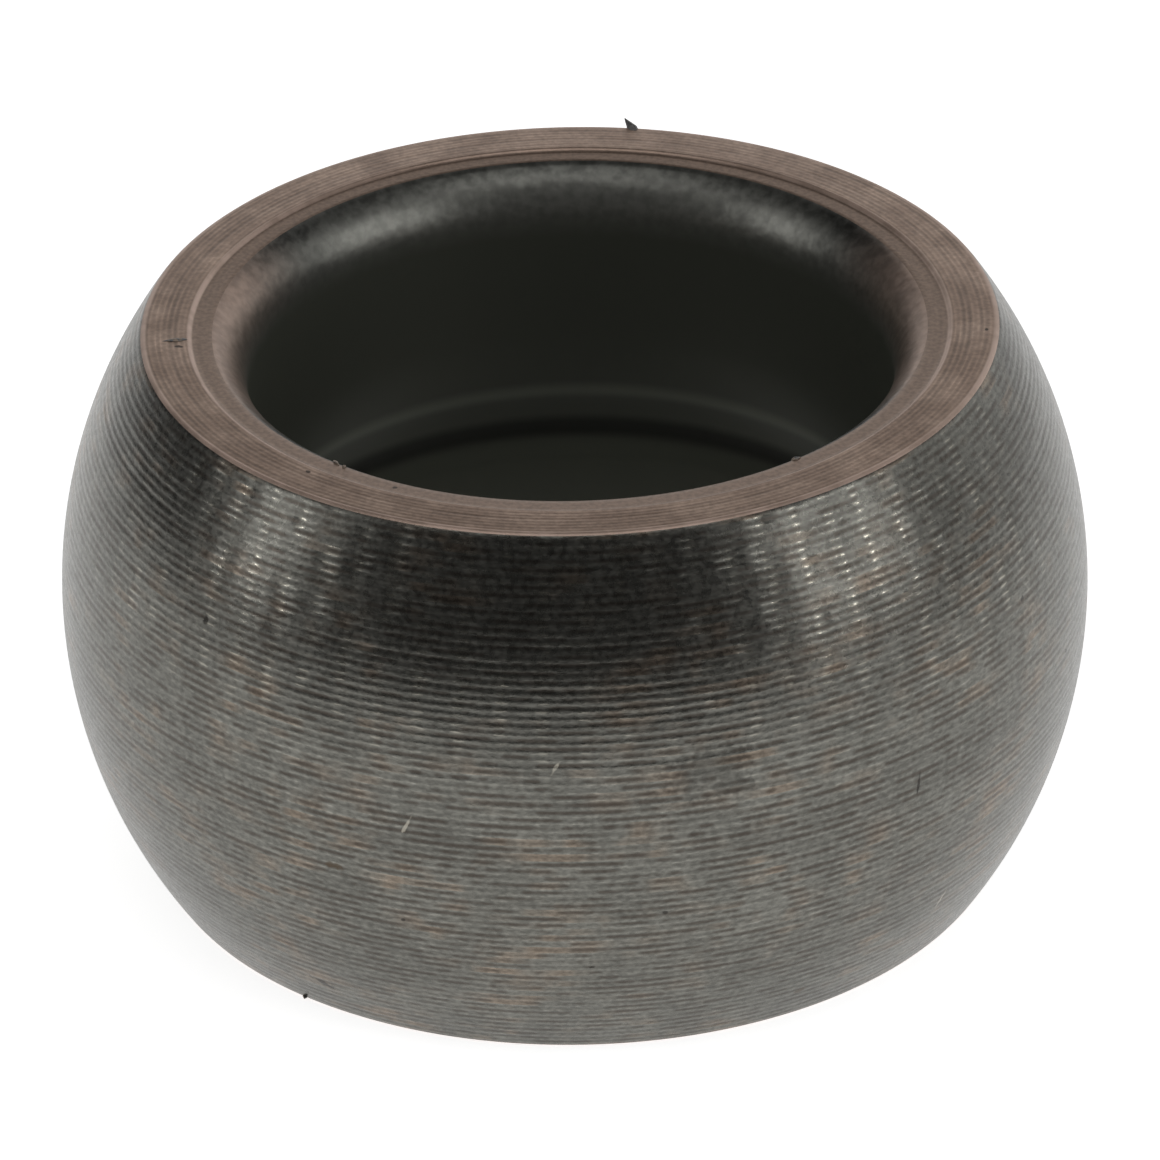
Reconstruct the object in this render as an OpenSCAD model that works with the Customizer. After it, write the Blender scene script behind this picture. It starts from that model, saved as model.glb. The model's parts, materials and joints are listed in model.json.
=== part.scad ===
// Spherical bushing: a ring turned from one piece of steel, with a ball-shaped outside, two flat end faces and a
// through bore. The origin is the centre of the ball, and +Z runs along the bore, out of the upper end face.

/* [Ball] */
// Diameter of the ball surface
ball_d = 16; // [12.5:0.5:30]
// Width over the two end faces
width = 9; // [6:0.5:10.5]
// Chamfer where an end face meets the ball
edge_break = 0.06; // [0.03:0.01:0.3]

/* [Bore] */
// Wall between the bore and the ball, at the middle of the ring
wall = 3; // [2.5:0.1:5]
// Width, seen along the axis, of the rounded mouth at each end of the bore
mouth_w = 0.52; // [0.2:0.02:0.9]
// Radius of the arc that rounds each mouth, tangent to the wall of the bore
mouth_r = 1; // [0.9:0.05:2]
// Length along the bore of the relief at its middle
relief_w = 1.3; // [0.8:0.1:2]
// Depth of the relief below the wall of the bore
relief_depth = 0.12; // [0.08:0.02:0.4]

/* [End faces] */
// Width of the smooth band between a face's land and the mouth of the bore
band_w = 0.32; // [0.1:0.02:0.8]
// Depth of the smooth band below the land
band_depth = 0.05; // [0.02:0.01:0.2]
// Run of the slope that leads from the land down to the band
band_slope = 0.05; // [0.02:0.01:0.2]

/* [Hidden] */
// Facets round the axis, and round each arc of the section
$fn = 240;
// Overrun of a cutting shape past the outline that it cuts
cut = 1;

ball_r = ball_d / 2;
bore_r = ball_r - wall;
face_z = width / 2;
// Radius at which the end plane meets the sphere
face_r = sqrt(pow(ball_r, 2) - pow(face_z, 2));
// Height of the smooth band's floor
floor_z = face_z - band_depth;
// Radius where the mouth meets the smooth band, at an edge
mouth_top_r = bore_r + mouth_w;
// Depth of the mouth's arc below the band's floor, down to where it meets the wall of the bore
mouth_depth = sqrt(pow(mouth_r, 2) - pow(mouth_r - mouth_w, 2));
// Radius of the smooth band's outer edge, at its floor
band_r = mouth_top_r + band_w;
// Radius of the arc that cuts the relief, from its chord and its depth
relief_arc_r = (pow(relief_w / 2, 2) + pow(relief_depth, 2)) / (2 * relief_depth);

// Half-section of the turned blank: the ball between its two end planes, drilled through
module ring_blank() {
    intersection() {
        circle(r = ball_r);
        translate([bore_r, -face_z]) square([ball_r, width]);
    }
}

// Corner that is taken off where the upper end face meets the ball
module edge_cut() {
    polygon([
        [face_r - edge_break, face_z],
        [face_r - edge_break, face_z + cut],
        [face_r + cut, face_z + cut],
        [face_r + cut, face_z - edge_break - cut]
    ]);
}

// Shallow recess that makes the smooth band of the upper end face
module band_cut() {
    polygon([
        [bore_r - cut, floor_z],
        [band_r, floor_z],
        [band_r + band_slope, face_z],
        [band_r + band_slope, face_z + cut],
        [bore_r - cut, face_z + cut]
    ]);
}

// What the mouth's rounding takes off the corner between the upper band and the bore
module mouth_cut() {
    difference() {
        translate([bore_r - cut, floor_z - mouth_depth]) square([cut + mouth_w, mouth_depth + band_depth]);
        translate([bore_r + mouth_r, floor_z - mouth_depth]) circle(r = mouth_r);
    }
}

// Everything that is cut at one end of the ring
module end_cuts() {
    edge_cut();
    band_cut();
    mouth_cut();
}

// Shallow round-bottomed relief at the middle of the bore
module relief_cut() {
    translate([bore_r + relief_depth - relief_arc_r, 0]) circle(r = relief_arc_r);
}

// The finished half-section, in the plane of radius and height
module ring_section() {
    difference() {
        ring_blank();
        end_cuts();
        mirror([0, 1]) end_cuts();
        relief_cut();
    }
}

// The whole ring, turned about its axis
module bushing() {
    color([0.46, 0.45, 0.43]) rotate_extrude() ring_section();
}

bushing();
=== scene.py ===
"""Looks of a turned spherical bushing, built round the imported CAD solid.

The ring is made by Geometry Nodes, which turn its half-section about the bore axis and cut the tool's
grooves into the ball and the end faces. Lengths in the dataclasses are in millimetres, and the meshes are in
metres.
"""

import json
import logging
import math
import random
from dataclasses import dataclass
from enum import Enum

import bmesh
import bpy
from mathutils import Matrix, Vector


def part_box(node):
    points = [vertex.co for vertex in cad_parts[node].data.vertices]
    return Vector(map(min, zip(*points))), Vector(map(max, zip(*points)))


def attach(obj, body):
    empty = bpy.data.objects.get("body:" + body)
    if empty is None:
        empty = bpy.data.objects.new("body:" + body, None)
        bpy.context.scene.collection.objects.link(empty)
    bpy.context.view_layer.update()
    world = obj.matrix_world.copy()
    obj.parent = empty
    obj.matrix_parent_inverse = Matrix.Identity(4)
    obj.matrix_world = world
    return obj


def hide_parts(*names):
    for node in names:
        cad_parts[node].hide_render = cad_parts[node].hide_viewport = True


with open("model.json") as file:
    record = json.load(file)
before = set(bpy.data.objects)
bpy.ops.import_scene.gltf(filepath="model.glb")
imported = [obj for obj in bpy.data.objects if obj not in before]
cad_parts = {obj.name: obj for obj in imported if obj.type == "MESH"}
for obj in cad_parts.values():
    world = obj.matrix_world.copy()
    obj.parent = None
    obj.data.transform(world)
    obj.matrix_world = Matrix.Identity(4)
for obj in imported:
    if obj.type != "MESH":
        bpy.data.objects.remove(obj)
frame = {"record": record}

MM = 0.001
NODE = "bushing"
BODY = "root"
# Share of a groove that keeps its first point out of the groove before it
NUDGE = 0.001
# How far below the surface a mark still shows, in millimetres
MARK_DEPTH = 1.0
# Weight of the finer octaves in noise that is drawn out along the lay
STREAK_ROUGHNESS = 0.55

log = logging.getLogger("bushing")


def linear(hex_colour: str) -> tuple[float, float, float, float]:
    """Turns an sRGB hex colour into linear light.

    Args:
        hex_colour: six hex digits, such as "8a7b6f".

    Returns:
        Red, green, blue and an alpha of 1.
    """
    srgb = [int(hex_colour[i:i + 2], 16) / 255 for i in (0, 2, 4)]
    return (*[c / 12.92 if c <= 0.04045 else ((c + 0.055) / 1.055) ** 2.4 for c in srgb], 1.0)


def add(tree: bpy.types.NodeTree, kind: str, inputs: dict | None = None, **settings) -> bpy.types.Node:
    """Adds a node with its settings, its input values and the links into it.

    Args:
        tree: the tree that gets the node.
        kind: the node's type name.
        inputs: input name or number to a value, a socket, or a node whose first live output is linked.
        settings: properties of the node itself.

    Returns:
        The new node.
    """
    node = tree.nodes.new(kind)
    for name, value in settings.items():
        setattr(node, name, value)
    for key, value in (inputs or {}).items():
        if isinstance(value, bpy.types.Node):
            value = next(socket for socket in value.outputs if socket.enabled)
        if isinstance(value, bpy.types.NodeSocket):
            tree.links.new(value, node.inputs[key])
        else:
            node.inputs[key].default_value = value
    return node


def calc(tree: bpy.types.NodeTree, operation: str, *values: object) -> bpy.types.NodeSocket:
    """Adds a maths node.

    Args:
        tree: the tree that gets the node.
        operation: what the node works out.
        *values: its inputs in order, each a number, a socket or a node.

    Returns:
        The result.
    """
    return add(tree, "ShaderNodeMath", dict(enumerate(values)), operation=operation).outputs[0]


class Zone(Enum):
    """The surfaces of the ring that are finished differently."""

    BALL = "ball"
    FACE = "face"
    BORE = "bore"


@dataclass
class RingSizes:
    """Sizes of the turned ring, in millimetres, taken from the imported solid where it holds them."""

    ball_r: float
    face_z: float
    bore_r: float
    edge_break: float = 0.03
    mouth_w: float = 0.52
    mouth_r: float = 1.0
    band_w: float = 0.32
    band_depth: float = 0.05
    band_slope: float = 0.05
    relief_w: float = 1.3
    relief_depth: float = 0.12

    @classmethod
    def from_frame(cls) -> "RingSizes":
        """Reads the ball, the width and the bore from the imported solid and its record.

        Returns:
            The sizes of this ring.
        """
        _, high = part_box(NODE)
        bore = next(m for m in frame["record"]["mounts"] if m["name"] == "bore")
        return cls(ball_r=high.x / MM, face_z=high.z / MM, bore_r=bore["dims"]["r_mm"])

    @property
    def face_r(self) -> float:
        """Radius at which the end plane meets the ball."""
        return math.sqrt(self.ball_r ** 2 - self.face_z ** 2)

    @property
    def floor_z(self) -> float:
        """Height of the smooth band's floor."""
        return self.face_z - self.band_depth

    @property
    def mouth_top_r(self) -> float:
        """Radius where the rounded mouth meets the smooth band, at an edge."""
        return self.bore_r + self.mouth_w

    @property
    def wall_z(self) -> float:
        """Height at which the mouth's arc runs out into the wall of the bore."""
        return self.floor_z - math.sqrt(self.mouth_r ** 2 - (self.mouth_r - self.mouth_w) ** 2)

    @property
    def band_r(self) -> float:
        """Radius of the smooth band's outer edge, at its floor."""
        return self.mouth_top_r + self.band_w

    @property
    def ridge_r(self) -> float:
        """Radius of the land's inner edge, where the slope to the band starts."""
        return self.band_r + self.band_slope

    @property
    def land_r(self) -> float:
        """Radius of the land's outer edge, where the edge break starts."""
        return self.face_r - self.edge_break


@dataclass
class ToolMarks:
    """Feed and depth of the lathe's grooves, in millimetres."""

    ball_feed: float = 0.13
    ball_depth: float = 0.006
    face_feed: float = 0.09
    face_depth: float = 0.0035
    # Points to each groove
    samples: int = 4
    # Depth of the shallowest and the deepest groove, as shares of the mean depth
    shallow: float = 0.55
    deep: float = 1.25
    # Waves in a metre of the noise that varies the depth along a groove
    drift: float = 900.0
    seed: int = 7


@dataclass
class TurnedRing:
    """The ring itself: a half-section, turned about the bore axis by Geometry Nodes."""

    sizes: RingSizes
    marks: ToolMarks
    turns: int = 240
    mouth_steps: int = 11
    relief_steps: int = 12
    wall_steps: int = 3

    def ball_points(self) -> list[tuple[float, float]]:
        """Points of the ball's arc, from the lower edge break to the upper one.

        Returns:
            Radius and height of each point, with a fixed number of points to each groove.
        """
        s = self.sizes
        top = math.atan2(s.face_z - s.edge_break,
                         math.sqrt(s.ball_r ** 2 - (s.face_z - s.edge_break) ** 2))
        step = self.marks.ball_feed / self.marks.samples / s.ball_r
        count = int(top / step)
        angles = [-top] + [i * step for i in range(-count, count + 1)] + [top]
        return [(s.ball_r * math.cos(a), s.ball_r * math.sin(a)) for a in angles]

    def end_points(self) -> list[tuple[float, float]]:
        """Points of the upper end, from the edge break inwards and down to the bore's wall.

        Returns:
            Radius and height of each point.
        """
        s = self.sizes
        step = self.marks.face_feed / self.marks.samples
        count = int((s.land_r - s.ridge_r) / step)
        land = [(s.land_r - i * step, s.face_z) for i in range(count + 1)] + [(s.ridge_r, s.face_z)]
        slope = [(s.ridge_r - s.band_slope / 2, s.face_z - s.band_depth / 2), (s.band_r, s.floor_z)]
        band = [(s.band_r - s.band_w * i / 4, s.floor_z) for i in range(1, 4)]
        open_angle = math.acos(1 - s.mouth_w / s.mouth_r)
        angles = [open_angle * (1 - i / self.mouth_steps) for i in range(self.mouth_steps + 1)]
        mouth = [(s.bore_r + s.mouth_r * (1 - math.cos(a)),
                  s.wall_z + s.mouth_r * math.sin(a)) for a in angles]
        return land + slope + band + mouth

    def wall_points(self) -> list[tuple[float, float]]:
        """Points of the bore's wall, from the upper mouth down, with the relief at the middle.

        Returns:
            Radius and height of each point.
        """
        s = self.sizes
        half = s.relief_w / 2
        arc_r = (half ** 2 + s.relief_depth ** 2) / (2 * s.relief_depth)
        centre = s.bore_r + s.relief_depth - arc_r
        steps = self.wall_steps
        upper = [(s.bore_r, s.wall_z + (half - s.wall_z) * i / steps) for i in range(1, steps + 1)]
        heights = [half - s.relief_w * i / self.relief_steps for i in range(1, self.relief_steps)]
        relief = [(centre + math.sqrt(arc_r ** 2 - z ** 2), z) for z in heights]
        lower = [(r, -z) for r, z in reversed(upper)]
        return upper + relief + lower

    def section(self) -> list[tuple[float, float]]:
        """The whole closed half-section, once round.

        Returns:
            Radius and height of each point, in millimetres.
        """
        upper = self.end_points()
        lower = [(r, -z) for r, z in reversed(upper)]
        return self.ball_points() + upper + self.wall_points() + lower

    def section_object(self, path_r: float) -> bpy.types.Object:
        """Makes the half-section as a closed line of edges, which the node tree then turns.

        Args:
            path_r: radius of the circle that carries the section, in millimetres.

        Returns:
            The object, with the section in its own X and Y.
        """
        points = [((r - path_r) * MM, z * MM, 0.0) for r, z in self.section()]
        mesh = bpy.data.meshes.new("turned_ring")
        mesh.from_pydata(points, [(i, (i + 1) % len(points)) for i in range(len(points))], [])
        ring = bpy.data.objects.new("turned_ring", mesh)
        bpy.context.scene.collection.objects.link(ring)
        return ring

    def groove_depth(self, tree: bpy.types.NodeTree, place: bpy.types.NodeSocket, feed: bpy.types.NodeSocket,
                     depth: bpy.types.NodeSocket, seed: bpy.types.NodeSocket) -> bpy.types.NodeSocket:
        """Adds the rule for how deep the tool cut at a place along the feed.

        Args:
            tree: the node tree.
            place: distance along the feed, in metres.
            feed: distance between two grooves, in metres.
            depth: mean depth of a groove, in metres.
            seed: seed of the groove-to-groove variation.

        Returns:
            The depth of a round-bottomed groove between sharp crests.
        """
        turn = calc(tree, "DIVIDE", place, feed)
        nudged = calc(tree, "ADD", turn, NUDGE)
        index = calc(tree, "FLOOR", nudged)
        phase = calc(tree, "FRACT", nudged)
        swing = calc(tree, "MULTIPLY_ADD", phase, 2.0, -1.0)
        square = calc(tree, "POWER", swing, 2.0)
        bowl = calc(tree, "SUBTRACT", 1.0, square)
        each = add(tree, "FunctionNodeRandomValue",
                   {2: self.marks.shallow, 3: self.marks.deep, "ID": index, "Seed": seed},
                   data_type="FLOAT")
        position = add(tree, "GeometryNodeInputPosition")
        stretched = add(tree, "ShaderNodeVectorMath", {0: position, 1: (1.0, 1.0, 4.0)},
                        operation="MULTIPLY")
        drift = add(tree, "ShaderNodeTexNoise", {"Vector": stretched, "Scale": self.marks.drift,
                                                 "Detail": 2.0})
        along = add(tree, "ShaderNodeMapRange", {"Value": drift, "From Min": 0.3, "From Max": 0.7,
                                                 "To Min": self.marks.shallow, "To Max": self.marks.deep})
        uneven = calc(tree, "MULTIPLY", each.outputs[1], along)
        shaped = calc(tree, "MULTIPLY", bowl, uneven)
        return calc(tree, "MULTIPLY", shaped, depth)

    def node_tree(self) -> bpy.types.NodeTree:
        """Builds the tree that turns the section, cuts the grooves and gives each zone its finish.

        Returns:
            The Geometry Nodes tree, with named inputs for its sizes.
        """
        tree = bpy.data.node_groups.new("turn_the_ring", "GeometryNodeTree")
        face = tree.interface
        face.new_socket("Geometry", in_out="INPUT", socket_type="NodeSocketGeometry")
        face.new_socket("Geometry", in_out="OUTPUT", socket_type="NodeSocketGeometry")
        for name in ("Path radius", "Ball radius", "Ball top", "Face height", "Land outer radius",
                     "Mouth radius", "Ball feed", "Ball depth", "Face feed", "Face depth"):
            face.new_socket(name, in_out="INPUT", socket_type="NodeSocketFloat")
        for name in ("Turns", "Seed"):
            face.new_socket(name, in_out="INPUT", socket_type="NodeSocketInt")
        for zone in Zone:
            face.new_socket(f"Finish of the {zone.value}", in_out="INPUT",
                            socket_type="NodeSocketMaterial")

        given = add(tree, "NodeGroupInput").outputs
        section = add(tree, "GeometryNodeMeshToCurve", {"Mesh": given["Geometry"]})
        circle = add(tree, "GeometryNodeCurvePrimitiveCircle",
                     {"Resolution": given["Turns"], "Radius": given["Path radius"]})
        turned = add(tree, "GeometryNodeCurveToMesh", {"Curve": circle, "Profile Curve": section})

        position = add(tree, "GeometryNodeInputPosition")
        xyz = add(tree, "ShaderNodeSeparateXYZ", {0: position})
        flat = add(tree, "ShaderNodeCombineXYZ", {0: xyz.outputs[0], 1: xyz.outputs[1]})
        radius = add(tree, "ShaderNodeVectorMath", {0: flat}, operation="LENGTH").outputs["Value"]
        reach = add(tree, "ShaderNodeVectorMath", {0: position}, operation="LENGTH").outputs["Value"]
        height = calc(tree, "ABSOLUTE", xyz.outputs[2])
        outward = add(tree, "ShaderNodeVectorMath", {0: position}, operation="NORMALIZE")

        latitude = calc(tree, "ARCTAN2", xyz.outputs[2], radius)
        arc = calc(tree, "MULTIPLY", latitude, given["Ball radius"])
        ball_cut = self.groove_depth(tree, arc, given["Ball feed"], given["Ball depth"], given["Seed"])
        inward = add(tree, "ShaderNodeVectorMath", {0: outward, "Scale": ball_cut}, operation="SCALE")
        ball_offset = add(tree, "ShaderNodeVectorMath", {0: inward, "Scale": -1.0}, operation="SCALE")
        skin = calc(tree, "SUBTRACT", given["Ball radius"], 0.02 * MM)
        on_ball = add(tree, "FunctionNodeCompare", {0: reach, 1: skin}, operation="GREATER_THAN")
        grooved = add(tree, "GeometryNodeSetPosition",
                      {"Geometry": turned, "Selection": on_ball, "Offset": ball_offset})

        from_rim = calc(tree, "SUBTRACT", given["Land outer radius"], radius)
        face_cut = self.groove_depth(tree, from_rim, given["Face feed"], given["Face depth"],
                                     given["Seed"])
        side = calc(tree, "SIGN", xyz.outputs[2])
        sunk = calc(tree, "MULTIPLY", face_cut, side)
        drop = calc(tree, "MULTIPLY", sunk, -1.0)
        face_offset = add(tree, "ShaderNodeCombineXYZ", {2: drop})
        near_face = calc(tree, "SUBTRACT", given["Face height"], 0.001 * MM)
        at_face = add(tree, "FunctionNodeCompare", {0: height, 1: near_face}, operation="GREATER_THAN")
        faced = add(tree, "GeometryNodeSetPosition",
                    {"Geometry": grooved, "Selection": at_face, "Offset": face_offset})

        smooth = add(tree, "GeometryNodeSetShadeSmooth", {"Geometry": faced})
        inside = add(tree, "FunctionNodeCompare", {0: radius, 1: given["Land outer radius"]},
                     operation="LESS_THAN")
        above = add(tree, "FunctionNodeCompare", {0: height, 1: given["Ball top"]},
                    operation="GREATER_THAN")
        on_end = add(tree, "FunctionNodeBooleanMath", {0: inside, 1: above}, operation="OR")
        in_bore = add(tree, "FunctionNodeCompare", {0: radius, 1: given["Mouth radius"]},
                      operation="LESS_THAN")
        dressed = add(tree, "GeometryNodeSetMaterial",
                      {"Geometry": smooth, "Material": given["Finish of the ball"]})
        dressed = add(tree, "GeometryNodeSetMaterial",
                      {"Geometry": dressed, "Selection": on_end, "Material": given["Finish of the face"]})
        dressed = add(tree, "GeometryNodeSetMaterial",
                      {"Geometry": dressed, "Selection": in_bore,
                       "Material": given["Finish of the bore"]})
        realized = add(tree, "GeometryNodeRealizeInstances", {"Geometry": dressed})
        add(tree, "NodeGroupOutput", {"Geometry": realized})
        return tree

    def build(self, finishes: dict[Zone, bpy.types.Material]) -> bpy.types.Object:
        """Turns the section into the finished mesh.

        Args:
            finishes: the material of each zone.

        Returns:
            The ring, a plain closed mesh.
        """
        s = self.sizes
        path_r = (s.ball_r + s.bore_r) / 2
        ring = self.section_object(path_r)
        tree = self.node_tree()
        values = {
            "Path radius": path_r * MM,
            "Ball radius": s.ball_r * MM,
            "Ball top": (s.face_z - s.edge_break) * MM,
            "Face height": s.face_z * MM,
            "Land outer radius": s.land_r * MM,
            "Mouth radius": s.mouth_top_r * MM,
            "Ball feed": self.marks.ball_feed * MM,
            "Ball depth": self.marks.ball_depth * MM,
            "Face feed": self.marks.face_feed * MM,
            "Face depth": self.marks.face_depth * MM,
            "Turns": self.turns,
            "Seed": self.marks.seed,
        }
        values.update({f"Finish of the {zone.value}": material for zone, material in finishes.items()})
        modifier = ring.modifiers.new("turning", "NODES")
        modifier.node_group = tree
        for item in tree.interface.items_tree:
            if item.in_out == "INPUT" and item.name in values:
                modifier[item.identifier] = values[item.name]
        bake(ring)
        return ring


def bake(piece: bpy.types.Object) -> None:
    """Turns the result of a piece's modifiers into its plain mesh and removes the modifiers.

    Args:
        piece: the object, linked to the scene.
    """
    bpy.context.view_layer.update()
    graph = bpy.context.evaluated_depsgraph_get()
    mesh = bpy.data.meshes.new_from_object(piece.evaluated_get(graph))
    piece.modifiers.clear()
    piece.data = mesh


def fresh_tree(material: bpy.types.Material) -> bpy.types.NodeTree:
    """Empties a material's node tree.

    Args:
        material: the material.

    Returns:
        Its tree, without nodes.
    """
    material.use_nodes = True
    material.node_tree.nodes.clear()
    return material.node_tree


@dataclass(frozen=True)
class Mark:
    """One trace of wear on the ball or on the upper end face.

    The azimuth counts from the camera's side, positive to the right. On the ball the second value is the
    latitude in degrees, and on the face it is the radius in millimetres. The length and the width are in
    millimetres, and turn_deg turns the long side from the lay.
    """

    azimuth_deg: float
    latitude_or_radius: float
    length: float
    width: float
    turn_deg: float = 0.0

    def frame_on_ball(self, ball_r: float) -> tuple[Vector, Vector, Vector]:
        """Places the mark on the ball.

        Args:
            ball_r: radius of the ball.

        Returns:
            Its centre and the directions of its long and short side.
        """
        azimuth, latitude = math.radians(self.azimuth_deg), math.radians(self.latitude_or_radius)
        out = Vector((math.sin(azimuth) * math.cos(latitude), -math.cos(azimuth) * math.cos(latitude),
                      math.sin(latitude)))
        east = Vector((math.cos(azimuth), math.sin(azimuth), 0.0))
        return out * ball_r, *self.turned(east, out.cross(east))

    def frame_on_face(self, face_z: float) -> tuple[Vector, Vector, Vector]:
        """Places the mark on the upper end face.

        Args:
            face_z: height of the face.

        Returns:
            Its centre and the directions of its long and short side.
        """
        azimuth = math.radians(self.azimuth_deg)
        out = Vector((math.sin(azimuth), -math.cos(azimuth), 0.0))
        east = Vector((math.cos(azimuth), math.sin(azimuth), 0.0))
        centre = out * self.latitude_or_radius + Vector((0.0, 0.0, face_z))
        return centre, *self.turned(east, -out)

    def turned(self, east: Vector, north: Vector) -> tuple[Vector, Vector]:
        """Turns the two surface directions by the mark's own angle.

        Args:
            east: direction along the lay.
            north: direction across it.

        Returns:
            Directions of the long and the short side.
        """
        angle = math.radians(self.turn_deg)
        along = east * math.cos(angle) + north * math.sin(angle)
        across = north * math.cos(angle) - east * math.sin(angle)
        return along, across


class Lay:
    """Places on the turned ring, as sockets of one shader tree, with every length in millimetres.

    The sockets are the place itself, its radius, its rise (height with a sign) and height (without), its
    latitude and azimuth in radians, round (the direction out from the axis), side (0 at the front and the
    back, 1 at either side) and ragged (noise about 0 that frays an edge).
    """

    def __init__(self, tree: bpy.types.NodeTree) -> None:
        """Adds the nodes that read the object's own coordinates.

        Args:
            tree: the shader tree.
        """
        self.tree = tree
        where = add(tree, "ShaderNodeTexCoord")
        self.place = add(tree, "ShaderNodeVectorMath", {0: where.outputs["Object"], "Scale": 1 / MM},
                         operation="SCALE").outputs["Vector"]
        xyz = add(tree, "ShaderNodeSeparateXYZ", {0: self.place})
        flat = add(tree, "ShaderNodeCombineXYZ", {0: xyz.outputs[0], 1: xyz.outputs[1]})
        self.radius = add(tree, "ShaderNodeVectorMath", {0: flat}, operation="LENGTH").outputs["Value"]
        self.rise = xyz.outputs[2]
        self.height = calc(tree, "ABSOLUTE", self.rise)
        self.latitude = calc(tree, "ARCTAN2", xyz.outputs[2], self.radius)
        self.azimuth = calc(tree, "ARCTAN2", xyz.outputs[1], xyz.outputs[0])
        self.round = add(tree, "ShaderNodeVectorMath", {0: flat}, operation="NORMALIZE").outputs["Vector"]
        turned = add(tree, "ShaderNodeSeparateXYZ", {0: self.round})
        self.side = calc(tree, "ABSOLUTE", turned.outputs[0])
        self.ragged = calc(tree, "MULTIPLY_ADD", self.grain(9.0, 1.0), 1.6, -0.8)

    def streaks(self, across: bpy.types.NodeSocket, reach: float, along_scale: float, across_scale: float,
                detail: float = 2.0) -> bpy.types.NodeSocket:
        """Adds noise drawn out along the lay.

        Args:
            across: the coordinate across the lay.
            reach: radius at which the lay is measured.
            along_scale: waves in a millimetre along the lay.
            across_scale: waves in one unit of the coordinate across it.
            detail: octaves of the noise.

        Returns:
            The noise, which swings about 0.5.
        """
        circle = add(self.tree, "ShaderNodeVectorMath", {0: self.round, "Scale": reach * along_scale},
                     operation="SCALE")
        lift = calc(self.tree, "MULTIPLY", across, across_scale)
        rise = add(self.tree, "ShaderNodeCombineXYZ", {2: lift})
        vector = add(self.tree, "ShaderNodeVectorMath", {0: circle, 1: rise}, operation="ADD")
        return add(self.tree, "ShaderNodeTexNoise", {"Vector": vector, "Scale": 1.0, "Detail": detail,
                                                     "Roughness": STREAK_ROUGHNESS}).outputs["Fac"]

    def grain(self, scale: float, detail: float = 2.0) -> bpy.types.NodeSocket:
        """Adds noise that is alike in every direction.

        Args:
            scale: waves in a millimetre.
            detail: octaves of the noise.

        Returns:
            The noise, which swings about 0.5.
        """
        return add(self.tree, "ShaderNodeTexNoise", {"Vector": self.place, "Scale": scale,
                                                     "Detail": detail}).outputs["Fac"]

    def band(self, value: bpy.types.NodeSocket, low: float, high: float, start: float = 0.0,
             end: float = 1.0) -> bpy.types.NodeSocket:
        """Turns a value into a soft step.

        Args:
            value: the value.
            low: where the step starts.
            high: where the step ends.
            start: result below the step.
            end: result above the step.

        Returns:
            The stepped value.
        """
        return add(self.tree, "ShaderNodeMapRange", {"Value": value, "From Min": low, "From Max": high,
                                                     "To Min": start, "To Max": end},
                   interpolation_type="SMOOTHSTEP").outputs["Result"]

    def marks(self, frames: list[tuple[Mark, tuple[Vector, Vector, Vector]]],
              strength: float) -> bpy.types.NodeSocket:
        """Adds one mask for a list of marks, each with a ragged edge.

        Args:
            frames: each mark with its centre and its two directions.
            strength: value of the mask on the marks.

        Returns:
            The mask, 0 off the marks.
        """
        nearest = None
        for mark, (centre, along, across) in frames:
            turn = Matrix((along, across, along.cross(across))).transposed().to_euler()
            half = (mark.length / 2, mark.width / 2, MARK_DEPTH)
            spot = add(self.tree, "ShaderNodeMapping",
                       {"Vector": self.place, "Location": centre, "Rotation": turn, "Scale": half},
                       vector_type="TEXTURE")
            distance = add(self.tree, "ShaderNodeVectorMath", {0: spot},
                           operation="LENGTH").outputs["Value"]
            nearest = distance if nearest is None else calc(self.tree, "MINIMUM", nearest, distance)
        uneven = calc(self.tree, "ADD", nearest, self.ragged)
        return self.band(uneven, 0.5, 1.1, strength, 0.0)

    def blend(self, amount: bpy.types.NodeSocket, below: object, above: object) -> bpy.types.NodeSocket:
        """Mixes two colours.

        Args:
            amount: share of the second colour.
            below: first colour, a socket or a value.
            above: second colour, a socket or a value.

        Returns:
            The mixed colour.
        """
        return add(self.tree, "ShaderNodeMix", {0: amount, 6: below, 7: above},
                   data_type="RGBA").outputs[2]

    def tinted(self, colour: bpy.types.NodeSocket, tone: bpy.types.NodeSocket) -> bpy.types.NodeSocket:
        """Makes a colour lighter or darker.

        Args:
            colour: the colour.
            tone: factor, where 1 keeps the colour.

        Returns:
            The scaled colour.
        """
        return add(self.tree, "ShaderNodeVectorMath", {0: colour, "Scale": tone},
                   operation="SCALE").outputs["Vector"]


@dataclass(frozen=True)
class LineTones:
    """What the lathe's lines do at a place, as sockets: tone, crests, line number and warm streaks."""

    tone: bpy.types.NodeSocket
    crest: bpy.types.NodeSocket
    index: bpy.types.NodeSocket
    warm: bpy.types.NodeSocket


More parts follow.
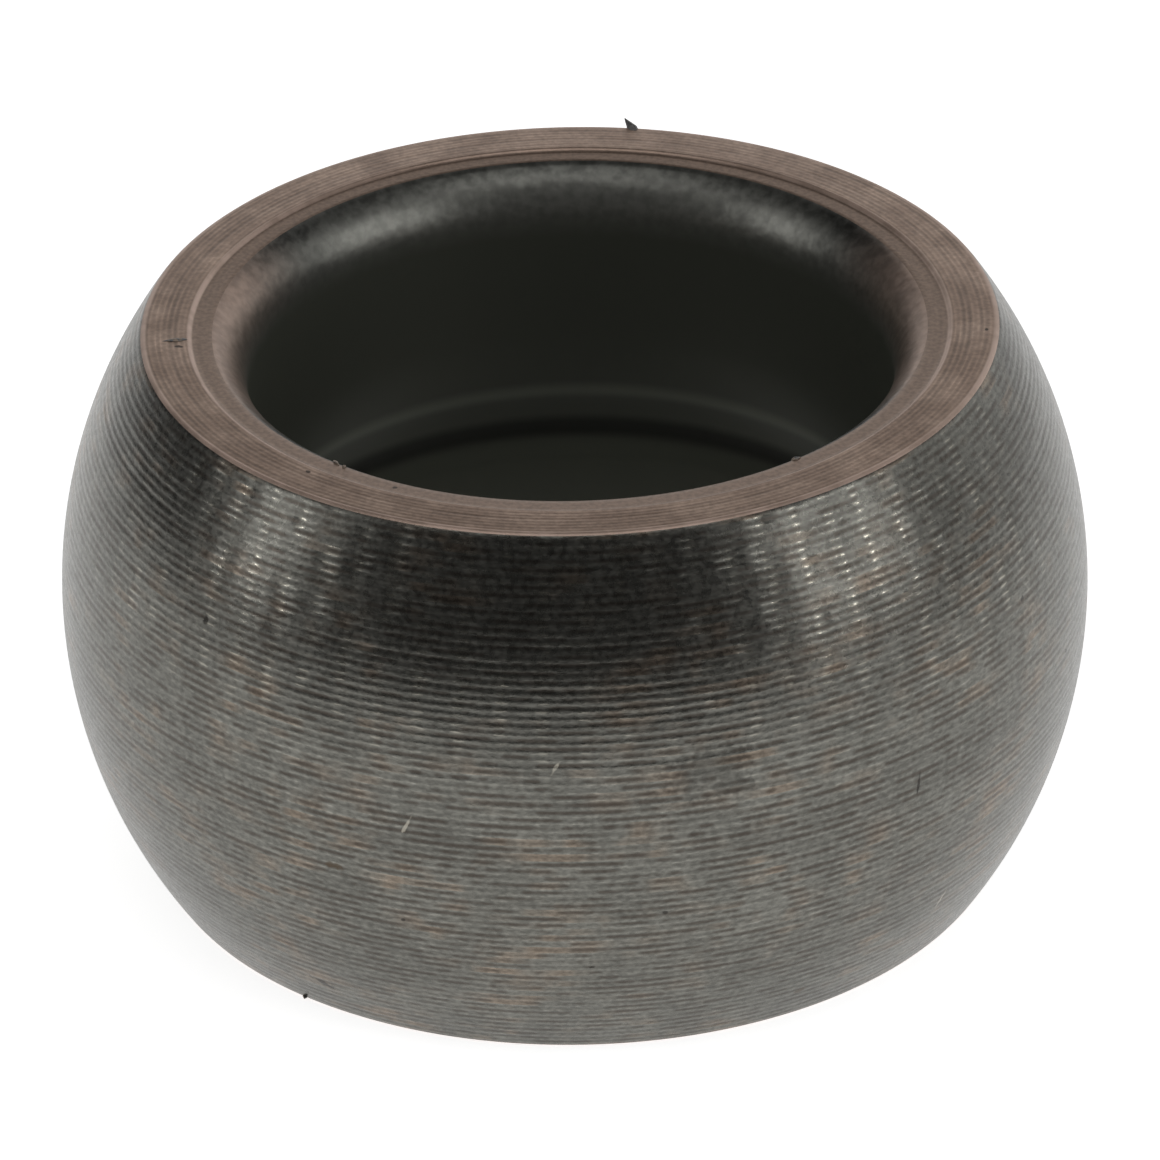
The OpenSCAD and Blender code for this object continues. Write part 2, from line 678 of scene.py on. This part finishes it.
@dataclass(frozen=True)
class Lines:
    """How clearly a lathe's lines show, by dirt and painted shade in the valleys and by rubbed crests."""

    # Distance between two lines, in millimetres
    feed: float
    # How much dirt and painted shade darken a valley
    valley: float
    # How much rubbing lightens a crest
    crest: float
    # How much one line differs from the next
    each: float
    # How often dirt and rubbing change along a line, where 1 is about once in a millimetre
    dash: float

    def tones(self, lay: Lay, place: bpy.types.NodeSocket, reach: float) -> LineTones:
        """Adds the tone of the lines.

        Args:
            lay: places on the ring.
            place: distance across the lines, in millimetres.
            reach: radius at which lengths along the lines are measured.

        Returns:
            The tone factor, the crests, the line's number and the warm streaks.
        """
        tree = lay.tree
        turn = calc(tree, "DIVIDE", place, self.feed)
        nudged = calc(tree, "ADD", turn, NUDGE)
        index = calc(tree, "FLOOR", nudged)
        phase = calc(tree, "FRACT", nudged)
        swing = calc(tree, "MULTIPLY_ADD", phase, 2.0, -1.0)
        crest = calc(tree, "POWER", swing, 2.0)
        number = add(tree, "ShaderNodeTexWhiteNoise", {"W": index},
                     noise_dimensions="1D").outputs["Value"]

        # Painted shade at the bottom of every valley, made deeper where streaks of dirt run along it
        dirt = lay.band(lay.streaks(index, reach, 1.2 * self.dash, 5.7), 0.42, 0.6, 0.35, 1.0)
        low = calc(tree, "SUBTRACT", 1.0, crest)
        low = calc(tree, "POWER", low, 2.0)
        dark = calc(tree, "MULTIPLY", low, dirt)
        worn = lay.band(lay.streaks(index, reach, 2.6 * self.dash, 7.3, 1.0), 0.54, 0.7)
        sharp = calc(tree, "POWER", crest, 2.0)
        rub = calc(tree, "MULTIPLY", sharp, worn)

        tone = calc(tree, "MULTIPLY_ADD", dark, -self.valley, 1.0)
        tone = calc(tree, "MULTIPLY_ADD", crest, 0.3 * self.crest, tone)
        tone = calc(tree, "MULTIPLY_ADD", rub, self.crest, tone)
        level = calc(tree, "MULTIPLY_ADD", number, 2 * self.each, 1.0 - self.each)
        tone = calc(tree, "MULTIPLY", tone, level)
        warm = lay.band(lay.streaks(index, reach, 0.6 * self.dash, 3.9), 0.46, 0.7)
        return LineTones(tone, crest, index, warm)


@dataclass(frozen=True)
class TurnedSteel:
    """Bearing steel, turned and lightly tarnished: dark grey, with dirt and painted shade in the grooves,
    rubbed crests and painted glints.
    """

    sizes: RingSizes
    marks: ToolMarks
    cool: str = "71706a"
    warm: str = "7d7266"
    rust: str = "54483a"
    # Bare steel of the scratches, also the light colour of the painted glints
    bare: str = "e2dccb"
    dirt: str = "2a2724"
    soil: str = "483b32"
    chatter_count: int = 76
    chatter_tilt: float = 0.16
    # Share of the light colour in the painted glints
    glint: float = 0.52
    roughness: float = 0.27
    scratches: tuple[Mark, ...] = (
        Mark(-19.0, 0.5, 0.4, 0.06, 62.0),
        Mark(-2.5, 8.6, 0.3, 0.06, 60.0),
        Mark(48.4, -22.0, 0.5, 0.04, 70.0),
    )
    stains: tuple[Mark, ...] = (
        Mark(-28.3, -6.9, 0.4, 0.13),
        Mark(28.3, -28.8, 0.24, 0.12, 10.0),
    )
    specks: tuple[Mark, ...] = (
        Mark(40.2, -1.9, 0.4, 0.05, 82.0),
        Mark(9.3, -10.5, 0.13, 0.08),
        Mark(-20.3, -12.7, 0.1, 0.07),
        Mark(60.7, 11.9, 0.12, 0.1),
        Mark(1.2, -18.2, 0.1, 0.06),
        Mark(70.8, 0.1, 0.12, 0.12),
        Mark(-47.0, 17.0, 0.1, 0.14),
        Mark(-34.3, -28.0, 0.44, 0.15, -20.0),
    )
    smears: tuple[Mark, ...] = (
        Mark(14.0, 7.2, 1.5, 0.85, 12.0),
        Mark(17.0, 4.8, 0.9, 0.4, -8.0),
    )

    def material(self) -> bpy.types.Material:
        """Builds the finish of the ball.

        Returns:
            The material.
        """
        # Gives the eye dark grey metal ruled with fine grooves, which break the highlights into dashes, with
        # painted glints on the upper ball
        material = bpy.data.materials.new("turned_bearing_steel")
        tree = fresh_tree(material)
        lay = Lay(tree)
        r = self.sizes.ball_r
        arc = calc(tree, "MULTIPLY", lay.latitude, r)
        lines = Lines(self.marks.ball_feed, valley=0.52, crest=0.62, each=0.08, dash=1.6)
        lines = lines.tones(lay, arc, r)

        clear = calc(tree, "MULTIPLY", lay.band(lay.latitude, -0.55, 0.25, 0.55, 0.92),
                     lay.band(lay.side, 0.45, 0.95, 1.0, 0.45))
        calm = calc(tree, "MULTIPLY", lay.band(lay.latitude, 0.12, 0.34),
                    lay.band(lay.side, 0.4, 0.62, 0.55, 0.0))
        calm = calc(tree, "SUBTRACT", 1.0, calm)
        clear = calc(tree, "MULTIPLY", clear, calm)
        contrast = calc(tree, "ADD", lines.tone, -1.0)
        tone = calc(tree, "MULTIPLY_ADD", contrast, clear, 1.0)
        fine = lay.streaks(arc, r, 9.0, 22.0, 1.0)
        tone = calc(tree, "MULTIPLY", tone, lay.band(fine, 0.3, 0.7, 0.82, 1.18))
        speckle = lay.band(lay.ragged, -0.4, 0.4, 0.9, 1.1)
        tone = calc(tree, "MULTIPLY", tone, speckle)
        broad = lay.grain(0.75)
        tone = calc(tree, "MULTIPLY", tone, lay.band(broad, 0.35, 0.65, 0.92, 1.08))

        warmth = calc(tree, "MULTIPLY", lines.warm, lay.band(broad, 0.42, 0.62))
        colour = lay.blend(warmth, linear(self.cool), linear(self.warm))
        colour = lay.tinted(colour, tone)

        soiled = lay.band(lines.tone, 0.5, 0.9, 0.4, 0.0)
        colour = lay.blend(soiled, colour, linear(self.soil))

        jitter = add(tree, "ShaderNodeTexWhiteNoise", {"W": lines.index},
                     noise_dimensions="1D").outputs["Value"]
        jitter = calc(tree, "MULTIPLY", jitter, 0.7)
        ripple = calc(tree, "MULTIPLY_ADD", lay.azimuth, float(self.chatter_count), jitter)
        wave = calc(tree, "SINE", ripple)
        slope = calc(tree, "COSINE", ripple)
        strong = lay.band(lay.streaks(lines.index, r, 1.5, 0.5, 1.0), 0.44, 0.62, 0.1, 1.0)
        top = calc(tree, "MULTIPLY", lay.band(wave, 0.45, 0.95), strong)
        sharp = calc(tree, "POWER", lines.crest, 2.0)
        glint = calc(tree, "MULTIPLY", top, sharp)
        # Painted glints: their light colour is kept to the upper ball, away from the sides, where the lamps
        # are mirrored
        where = calc(tree, "MULTIPLY", lay.band(lay.latitude, 0.08, 0.28, 0.04, 1.0),
                     lay.band(lay.side, 0.84, 0.97, 1.0, 0.15))
        glint = calc(tree, "MULTIPLY", glint, where)
        painted_glint = calc(tree, "MULTIPLY", glint, self.glint)
        colour = lay.blend(painted_glint, colour, linear(self.bare))
        bare = lay.marks([(m, m.frame_on_ball(r)) for m in self.scratches], 0.35)
        rust = lay.marks([(m, m.frame_on_ball(r)) for m in self.stains], 0.7)
        dark = lay.marks([(m, m.frame_on_ball(r)) for m in self.specks], 0.75)
        smeared = lay.marks([(m, m.frame_on_ball(r)) for m in self.smears], 0.35)
        colour = lay.blend(smeared, colour, linear(self.dirt))
        colour = lay.blend(rust, colour, linear(self.rust))
        colour = lay.blend(dark, colour, linear(self.dirt))
        colour = lay.blend(bare, colour, linear(self.bare))

        chatter = calc(tree, "MULTIPLY", slope, strong)
        chatter = calc(tree, "MULTIPLY", chatter, lines.crest)
        chatter = calc(tree, "MULTIPLY", chatter, where)
        chatter = calc(tree, "MULTIPLY", chatter, self.chatter_tilt)
        east = add(tree, "ShaderNodeVectorMath", {0: (0.0, 0.0, 1.0), 1: lay.round},
                   operation="CROSS_PRODUCT")
        tilt = add(tree, "ShaderNodeVectorMath", {0: east, "Scale": chatter}, operation="SCALE")
        tilt = add(tree, "ShaderNodeVectorTransform", {"Vector": tilt}, vector_type="VECTOR",
                   convert_from="OBJECT", convert_to="WORLD")
        bump = add(tree, "ShaderNodeBump", {"Strength": 1.0, "Distance": 0.0025 * MM, "Height": fine})
        facet = add(tree, "ShaderNodeVectorMath", {0: bump, 1: tilt}, operation="ADD")
        facet = add(tree, "ShaderNodeVectorMath", {0: facet}, operation="NORMALIZE")
        rough = lay.band(lay.ragged, -0.25, 0.25, self.roughness - 0.01, self.roughness + 0.05)
        polish = calc(tree, "MULTIPLY_ADD", glint, -0.65, 1.0)
        rough = calc(tree, "MULTIPLY", rough, polish)
        shader = add(tree, "ShaderNodeBsdfPrincipled",
                     {"Base Color": colour, "Metallic": 1.0, "Roughness": rough, "Normal": facet,
                      "Coat Weight": 0.16, "Coat Roughness": 0.35})
        add(tree, "ShaderNodeOutputMaterial", {"Surface": shader})
        return material


@dataclass(frozen=True)
class FacedOxide:
    """Faced steel under a thin brown oxide: concentric lines, with the rim and the ridge rubbed bright and
    given a painted highlight.
    """

    sizes: RingSizes
    marks: ToolMarks
    brown: str = "957f70"
    pale: str = "ab9484"
    band_brown: str = "8d796b"
    # Pale colour of the rubbed rim and ridge, which also paints their highlight
    rubbed: str = "cdb3a4"
    # Colour of the pits and of one painted shadow
    dirt: str = "2f2722"
    roughness: float = 0.4
    lean: float = 0.05
    pits_and_shadow: tuple[Mark, ...] = (
        # A painted shadow beside the torn tag on the land
        Mark(-85.4, 6.04, 0.16, 0.08, 70.0),
        Mark(-41.4, 6.04, 0.09, 0.07),
        Mark(-28.2, 5.67, 0.1, 0.08),
        Mark(86.0, 6.43, 0.08, 0.06),
        Mark(86.0, 5.4, 0.3, 0.03, 80.0),
    )

    def material(self) -> bpy.types.Material:
        """Builds the finish of the end faces.

        Returns:
            The material.
        """
        # Gives the eye a warm, satin brown with fine circles, and pale edges, rubbed and given a painted
        # highlight
        material = bpy.data.materials.new("faced_steel_brown_oxide")
        tree = fresh_tree(material)
        lay = Lay(tree)
        s = self.sizes
        from_rim = calc(tree, "SUBTRACT", s.land_r, lay.radius)
        lines = Lines(self.marks.face_feed, valley=0.34, crest=0.25, each=0.07, dash=0.3)
        tone = lines.tones(lay, from_rim, s.face_r).tone
        in_band = lay.band(lay.radius, s.band_r - 0.01, s.ridge_r, 1.0, 0.0)
        calm = calc(tree, "ADD", tone, -1.0)
        quiet = lay.band(lay.radius, s.band_r, s.ridge_r, 0.2, 1.0)
        clear = calc(tree, "MULTIPLY_ADD", lay.side, 0.22, 0.66)
        quiet = calc(tree, "MULTIPLY", quiet, clear)
        tone = calc(tree, "MULTIPLY_ADD", calm, quiet, 1.0)
        fine = lay.grain(13.0)
        tone = calc(tree, "MULTIPLY", tone, lay.band(fine, 0.3, 0.7, 0.86, 1.14))

        colour = lay.blend(lay.band(lay.grain(1.1), 0.38, 0.66), linear(self.brown), linear(self.pale))
        colour = lay.blend(in_band, colour, linear(self.band_brown))
        colour = lay.tinted(colour, tone)
        broken = lay.band(lay.streaks(lay.height, s.face_r, 1.6, 1.0, 2.0), 0.38, 0.6, 0.6, 1.0)
        ridge = calc(tree, "SUBTRACT", lay.radius, s.ridge_r - 0.02)
        ridge = calc(tree, "ABSOLUTE", ridge)
        rim = lay.band(lay.radius, s.land_r - 0.06, s.land_r - 0.01)
        # Painted highlight: the ridge's pale line is brighter towards the left and right sides
        ridge_wear_and_sheen = calc(tree, "MULTIPLY_ADD", lay.side, 0.75, 0.25)
        ridge = calc(tree, "MULTIPLY", lay.band(ridge, 0.02, 0.055, 1.0, 0.0), ridge_wear_and_sheen)
        rubbed = calc(tree, "MAXIMUM", ridge, rim)
        rubbed = calc(tree, "MULTIPLY", rubbed, broken)
        colour = lay.blend(rubbed, colour, linear(self.rubbed))
        # Pits, and one painted shadow beside the torn tag
        pits_and_shadow = lay.marks([(m, m.frame_on_face(s.face_z)) for m in self.pits_and_shadow], 0.85)
        colour = lay.blend(pits_and_shadow, colour, linear(self.dirt))

        out = calc(tree, "SUBTRACT", lay.radius, s.band_r)
        lean = calc(tree, "ABSOLUTE", out)
        height = calc(tree, "MULTIPLY", lean, -self.lean)
        height = calc(tree, "MULTIPLY_ADD", fine, 0.003, height)
        bump = add(tree, "ShaderNodeBump", {"Strength": 1.0, "Distance": MM, "Height": height})
        # Less metal on the pale rim and ridge, so their colour shows as a painted highlight
        metal = calc(tree, "MULTIPLY_ADD", rubbed, -0.5, 0.85)
        shader = add(tree, "ShaderNodeBsdfPrincipled",
                     {"Base Color": colour, "Metallic": metal, "Roughness": self.roughness,
                      "Normal": bump})
        add(tree, "ShaderNodeOutputMaterial", {"Surface": shader})
        return material


@dataclass(frozen=True)
class BurnishedBore:
    """Mouth worn smooth: brown oxide that thins out to grey steel, then near black deeper down the bore,
    with painted highlight and shade bands on its wall.
    """

    sizes: RingSizes
    brown: str = "9f8a7d"
    grey: str = "80807a"
    black: str = "53554c"
    roughness: float = 0.42

    def material(self) -> bpy.types.Material:
        """Builds the finish of the mouths and the bore.

        Returns:
            The material.
        """
        # Gives the eye a soft grey sheen at the mouth, which sinks to near black inside the bore
        material = bpy.data.materials.new("burnished_mouth_black_bore")
        tree = fresh_tree(material)
        lay = Lay(tree)
        s = self.sizes
        depth = calc(tree, "SUBTRACT", s.floor_z, lay.height)
        cloud = calc(tree, "MULTIPLY_ADD", lay.grain(2.6), 0.12, -0.06)
        depth = calc(tree, "ADD", depth, cloud)
        flank = lay.band(lay.side, 0.78, 0.97)
        film = calc(tree, "MULTIPLY", lay.band(depth, 0.0, 1.0, 1.0, 0.0), flank)
        # Grey steel at the top of the mouth, darkening to near black deeper down the bore
        worn = lay.band(depth, 0.5, 1.1, 1.0, 0.0)
        colour = lay.blend(worn, linear(self.black), linear(self.grey))
        colour = lay.blend(film, colour, linear(self.brown))

        # Painted shade: a dark rim at the top of the mouth, at the front and the back
        scaled = calc(tree, "SUBTRACT", 1.0, flank)
        edge = calc(tree, "MULTIPLY", lay.band(depth, 0.06, 0.3, -0.5, 0.0), scaled)
        mottle_and_shade = calc(tree, "MULTIPLY_ADD", lay.band(lay.grain(6.0), 0.3, 0.7, -0.14, 0.14), worn, edge)
        # Painted shade: the worn mouth is darker in a narrow band of azimuth on each flank
        shade_offset = calc(tree, "SUBTRACT", lay.side, 0.84)
        shade_offset = calc(tree, "ABSOLUTE", shade_offset)
        mottle_and_shade = calc(tree, "MULTIPLY_ADD", lay.band(shade_offset, 0.04, 0.14, -0.22, 0.0), worn, mottle_and_shade)
        # Painted highlight: a bright arc on the wall at the relief's upper edge
        shoulder = calc(tree, "SUBTRACT", lay.rise, s.relief_w / 2 - 0.05)
        shoulder = calc(tree, "ABSOLUTE", shoulder)
        # Painted shade: a dark band on the wall just below the middle
        core = calc(tree, "ADD", lay.rise, 0.1)
        core = calc(tree, "ABSOLUTE", core)
        tone = calc(tree, "ADD", mottle_and_shade, lay.band(shoulder, 0.0, 0.2, 1.8, 1.0))
        tone = calc(tree, "ADD", tone, lay.band(core, 0.05, 0.26, -0.7, 0.0))
        # Painted reflection: the wall is lighter further down
        tone = calc(tree, "ADD", tone, lay.band(lay.rise, -0.45, -0.2, 0.4, 0.0))
        colour = lay.tinted(colour, tone)
        rough = calc(tree, "MULTIPLY_ADD", worn, -0.05, self.roughness)
        metal = calc(tree, "MULTIPLY_ADD", worn, 0.35, 0.4)
        dents = calc(tree, "MULTIPLY", lay.grain(5.0, 1.0), worn)
        bump = add(tree, "ShaderNodeBump", {"Strength": 1.0, "Distance": MM * 0.008, "Height": dents})
        shader = add(tree, "ShaderNodeBsdfPrincipled",
                     {"Base Color": colour, "Metallic": metal, "Roughness": rough, "Normal": bump})
        add(tree, "ShaderNodeOutputMaterial", {"Surface": shader})
        return material


@dataclass(frozen=True)
class Burr:
    """A torn lump of metal on an edge, in millimetres.

    Its long side points out from the axis, turned by turn_deg and lifted by lift_deg.
    """

    azimuth_deg: float
    radius: float
    height: float
    size: tuple[float, float, float]
    turn_deg: float = 0.0
    lift_deg: float = 0.0


@dataclass
class EdgeBurrs:
    """Small burrs that facing left on the edges."""

    seed: int = 11
    burrs: tuple[Burr, ...] = (
        Burr(-40.5, 5.5, 4.44, (0.2, 0.07, 0.07), 70.0, 8.0),
        Burr(-38.6, 5.53, 4.45, (0.09, 0.06, 0.06), 40.0, 0.0),
        Burr(37.9, 5.5, 4.44, (0.17, 0.09, 0.08), 80.0, 10.0),
        Burr(170.8, 6.6, 4.48, (0.48, 0.17, 0.14), 44.0, 26.0),
        Burr(-40.2, 6.64, -4.45, (0.16, 0.08, 0.08), 30.0, 0.0),
        Burr(-87.4, 6.1, 4.495, (0.42, 0.1, 0.06), 5.0, 0.0),
    )

    def build(self, finish: bpy.types.Material) -> bpy.types.Object:
        """Makes every burr as a ragged closed lump, sunk by half into its edge.

        Args:
            finish: the material.

        Returns:
            One object that holds the burrs.
        """
        chance = random.Random(self.seed)
        lumps = bmesh.new()
        for burr in self.burrs:
            azimuth = math.radians(burr.azimuth_deg)
            out = Vector((math.sin(azimuth), -math.cos(azimuth), 0.0))
            turn = (Matrix.Rotation(azimuth - math.pi / 2 + math.radians(burr.turn_deg), 4, "Z")
                    @ Matrix.Rotation(-math.radians(burr.lift_deg), 4, "Y"))
            place = Matrix.Translation((out * burr.radius + Vector((0.0, 0.0, burr.height))) * MM)
            scale = Matrix.Diagonal((*[side * MM / 2 for side in burr.size], 1.0))
            made = bmesh.ops.create_icosphere(lumps, subdivisions=3, radius=1.0)
            for vertex in made["verts"]:
                narrow = 1.0 - 0.7 * max(vertex.co.x, 0.0)
                vertex.co.y *= narrow * chance.uniform(0.85, 1.1)
                vertex.co.z *= narrow * chance.uniform(0.85, 1.1)
            bmesh.ops.transform(lumps, matrix=place @ turn @ scale, verts=made["verts"])
        mesh = bpy.data.meshes.new("edge_burrs")
        lumps.to_mesh(mesh)
        lumps.free()
        mesh.materials.append(finish)
        mesh.shade_smooth()
        piece = bpy.data.objects.new("edge_burrs", mesh)
        bpy.context.scene.collection.objects.link(piece)
        return piece


@dataclass(frozen=True)
class TornSteel:
    """Torn steel of the burrs: bare metal, dulled by handling, turning blue-grey in patches and towards the
    back of the ring.
    """

    bare: str = "998c80"
    blue_grey: str = "77787a"
    roughness: float = 0.45

    def material(self) -> bpy.types.Material:
        """Builds the finish of the burrs.

        Returns:
            The material.
        """
        # Gives the eye small crumpled chips, grey to blue-grey, that catch the light on the edges
        material = bpy.data.materials.new("torn_burr_steel")
        tree = fresh_tree(material)
        lay = Lay(tree)
        behind = add(tree, "ShaderNodeSeparateXYZ", {0: lay.place}).outputs[1]
        torn = lay.grain(12.0)
        # Blue-grey in patches, and more so the further a burr sits behind the ring's middle
        blue_share = calc(tree, "MAXIMUM", lay.band(behind, 0.0, 5.0, 0.0, 0.85), lay.band(torn, 0.45, 0.65))
        colour = lay.blend(blue_share, linear(self.bare), linear(self.blue_grey))
        bump = add(tree, "ShaderNodeBump", {"Strength": 1.0, "Distance": 0.02 * MM, "Height": torn})
        shader = add(tree, "ShaderNodeBsdfPrincipled",
                     {"Base Color": colour, "Metallic": 1.0, "Roughness": self.roughness, "Normal": bump})
        add(tree, "ShaderNodeOutputMaterial", {"Surface": shader})
        return material


@dataclass(frozen=True)
class SoftBox:
    """A lamp whose rectangular face looks at the ring.

    The azimuth counts from the camera's side, positive to the right. Distance, width and height are in
    metres, and a radiance of 1 is white.
    """

    name: str
    azimuth_deg: float
    elevation_deg: float
    distance: float
    width: float
    height: float
    radiance: float

    def build(self) -> None:
        """Adds the lamp to the scene."""
        azimuth, elevation = math.radians(self.azimuth_deg), math.radians(self.elevation_deg)
        back = Vector((math.sin(azimuth) * math.cos(elevation), -math.cos(azimuth) * math.cos(elevation),
                       math.sin(elevation)))
        data = bpy.data.lights.new(self.name, "AREA")
        data.shape = "RECTANGLE"
        data.size = self.width
        data.size_y = self.height
        data.energy = self.radiance * math.pi * self.width * self.height
        lamp = bpy.data.objects.new(self.name, data)
        facing = back.to_track_quat("Z", "Y").to_matrix().to_4x4()
        lamp.matrix_world = Matrix.Translation(back * self.distance) @ facing
        lamp.visible_camera = False
        bpy.context.scene.collection.objects.link(lamp)


@dataclass
class Studio:
    """Pale floor, soft lamps and the camera, with lengths in millimetres."""

    floor_z: float
    ball_r: float
    distance: float = 24.0
    elevation_deg: float = 29.55
    roll_deg: float = 1.14
    lens_mm: float = 381.7
    aim_right: float = 0.08
    aim_down: float = 0.04
    # The floor's own light, as the camera sees it, and as the metal sees it under and around the ring
    floor_seen: float = 0.82
    floor_under: float = 0.6
    floor_around: float = 0.65
    floor_far: float = 0.25
    paper_tone: float = 0.88
    # Light of the sky on the metal: in front of the ring, then behind it near the horizon and overhead
    sky_front: float = 0.08
    sky_low: float = 0.84
    sky_high: float = 0.28
    lamps: tuple[SoftBox, ...] = (
        SoftBox("right_box", 78.0, 24.0, 0.4, 0.5, 0.3, 0.45),
        SoftBox("right_tube_front", 59.0, 19.0, 0.38, 0.016, 0.21, 6.7),
        SoftBox("right_tube_back", 77.0, 19.0, 0.38, 0.016, 0.21, 6.7),
        SoftBox("left_box", -78.0, 28.0, 0.4, 0.26, 0.3, 0.42),
        SoftBox("left_tube", -78.0, 18.0, 0.38, 0.016, 0.2, 7.4),
        SoftBox("top_box", 0.0, 72.0, 0.4, 0.45, 0.2, 1.3),
    )

    def camera(self) -> None:
        """Places the camera at the photograph's angle, aimed just beside the ball's centre."""
        elevation = math.radians(self.elevation_deg)
        back = Vector((0.0, -math.cos(elevation), math.sin(elevation)))
        right = Vector((1.0, 0.0, 0.0))
        up = back.cross(right)
        roll = math.radians(self.roll_deg)
        tilted_right = right * math.cos(roll) - up * math.sin(roll)
        tilted_up = up * math.cos(roll) + right * math.sin(roll)
        data = bpy.data.cameras.new("camera")
        data.lens = self.lens_mm
        data.sensor_width = 36.0
        data.clip_start = 0.01
        data.clip_end = 10.0
        camera = bpy.data.objects.new("camera", data)
        aim = right * self.aim_right - up * self.aim_down
        place = (aim + back * self.distance * self.ball_r) * MM
        axes = Matrix((tilted_right, tilted_up, back)).transposed().to_4x4()
        camera.matrix_world = Matrix.Translation(place) @ axes
        bpy.context.scene.collection.objects.link(camera)
        bpy.context.scene.camera = camera

    def soft_step(self, tree: bpy.types.NodeTree, value: bpy.types.NodeSocket, low: float, high: float,
                  start: float, end: float) -> bpy.types.Node:
        """Adds a soft step from one level to another.

        Args:
            tree: the tree that gets the node.
            value: the value that is followed.
            low: where the step starts.
            high: where the step ends.
            start: level below the step.
            end: level above the step.

        Returns:
            The node that gives the level.
        """
        return add(tree, "ShaderNodeMapRange", {"Value": value, "From Min": low, "From Max": high,
                                                "To Min": start, "To Max": end},
                   interpolation_type="SMOOTHSTEP")

    def sky(self) -> None:
        """Makes the world: white to the camera, and to the metal a glow behind the ring."""
        world = bpy.data.worlds.new("studio")
        bpy.context.scene.world = world
        world.use_nodes = True
        tree = world.node_tree
        tree.nodes.clear()
        path = add(tree, "ShaderNodeLightPath")
        where = add(tree, "ShaderNodeTexCoord")
        xyz = add(tree, "ShaderNodeSeparateXYZ", {0: where.outputs["Generated"]})
        away = add(tree, "ShaderNodeVectorMath", {0: where.outputs["Generated"], 1: (0.3, 0.95, 0.0)},
                   operation="DOT_PRODUCT").outputs["Value"]
        behind = self.soft_step(tree, away, 0.45, 0.75, self.sky_front, 1.0)
        low = self.soft_step(tree, xyz.outputs[2], 0.3, 0.85, self.sky_low, self.sky_high)
        level = calc(tree, "MULTIPLY", behind, low)
        seen = calc(tree, "MAXIMUM", level, path.outputs["Is Camera Ray"])
        light = add(tree, "ShaderNodeBackground", {"Color": (1.0, 1.0, 1.0, 1.0), "Strength": seen})
        add(tree, "ShaderNodeOutputWorld", {"Surface": light})

    def paper(self) -> bpy.types.Material:
        """Builds the floor's paper, which glows by itself and still takes the ring's shadow.

        Returns:
            The material.
        """
        # Gives the eye a plain white ground with a faint shadow, and the metal a bright floor to mirror
        paper = bpy.data.materials.new("matte_white_paper")
        paper.use_nodes = True
        tree = paper.node_tree
        tree.nodes.clear()
        path = add(tree, "ShaderNodeLightPath")
        where = add(tree, "ShaderNodeTexCoord")
        reach = add(tree, "ShaderNodeVectorMath", {0: where.outputs["Object"]},
                    operation="LENGTH").outputs["Value"]
        # Seen by the metal, the floor glows little under the bore as painted shadow, and fully from about
        # the bore's edge outwards, fading far off
        under = self.soft_step(tree, reach, 0.001, 0.005, self.floor_under, 0.0)
        around = self.soft_step(tree, reach, 0.006, 0.007, 0.0, self.floor_around)
        fade = self.soft_step(tree, reach, 0.02, 0.09, 1.0, self.floor_far)
        level = calc(tree, "ADD", under, around)
        level = calc(tree, "MULTIPLY", level, fade)
        level = calc(tree, "MULTIPLY", level, path.outputs["Is Glossy Ray"])
        seen = calc(tree, "MULTIPLY_ADD", path.outputs["Is Camera Ray"], self.floor_seen, level)
        glow = add(tree, "ShaderNodeEmission", {"Strength": seen})
        sheet = add(tree, "ShaderNodeBsdfDiffuse", {"Color": (*[self.paper_tone] * 3, 1.0)})
        both = add(tree, "ShaderNodeAddShader", {0: glow, 1: sheet})
        add(tree, "ShaderNodeOutputMaterial", {"Surface": both})
        return paper

    def floor(self) -> None:
        """Lays the floor under the ring, as a square of two metres."""
        mesh = bpy.data.meshes.new("floor")
        half = 1.0
        z = self.floor_z * MM
        corners = [(-half, -half, z), (half, -half, z), (half, half, z), (-half, half, z)]
        mesh.from_pydata(corners, [], [(0, 1, 2, 3)])
        floor = bpy.data.objects.new("floor", mesh)
        bpy.context.scene.collection.objects.link(floor)
        mesh.materials.append(self.paper())

    def build(self) -> None:
        """Makes the whole studio."""
        self.camera()
        for box in self.lamps:
            box.build()
        self.sky()
        self.floor()


def main() -> None:
    """Builds the pieces in order and reports each one."""
    logging.basicConfig(level=logging.INFO, format="%(message)s")
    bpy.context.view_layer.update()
    sizes = RingSizes.from_frame()
    log.info("sizes: ball radius %.4f mm, half width %.4f mm, bore radius %.2f mm",
             sizes.ball_r, sizes.face_z, sizes.bore_r)
    marks = ToolMarks()
    finishes = {
        Zone.BALL: TurnedSteel(sizes, marks).material(),
        Zone.FACE: FacedOxide(sizes, marks).material(),
        Zone.BORE: BurnishedBore(sizes).material(),
    }
    ring = TurnedRing(sizes, marks).build(finishes)
    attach(ring, BODY)
    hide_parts(NODE)
    log.info("turned_ring: %d points, %d faces", len(ring.data.vertices), len(ring.data.polygons))
    burrs = EdgeBurrs().build(TornSteel().material())
    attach(burrs, BODY)
    log.info("edge_burrs: %d points, %d faces", len(burrs.data.vertices), len(burrs.data.polygons))
    Studio(floor_z=-sizes.face_z, ball_r=sizes.ball_r).build()
    bpy.context.scene.view_settings.view_transform = "Standard"


if __name__ == "__main__":
    main()
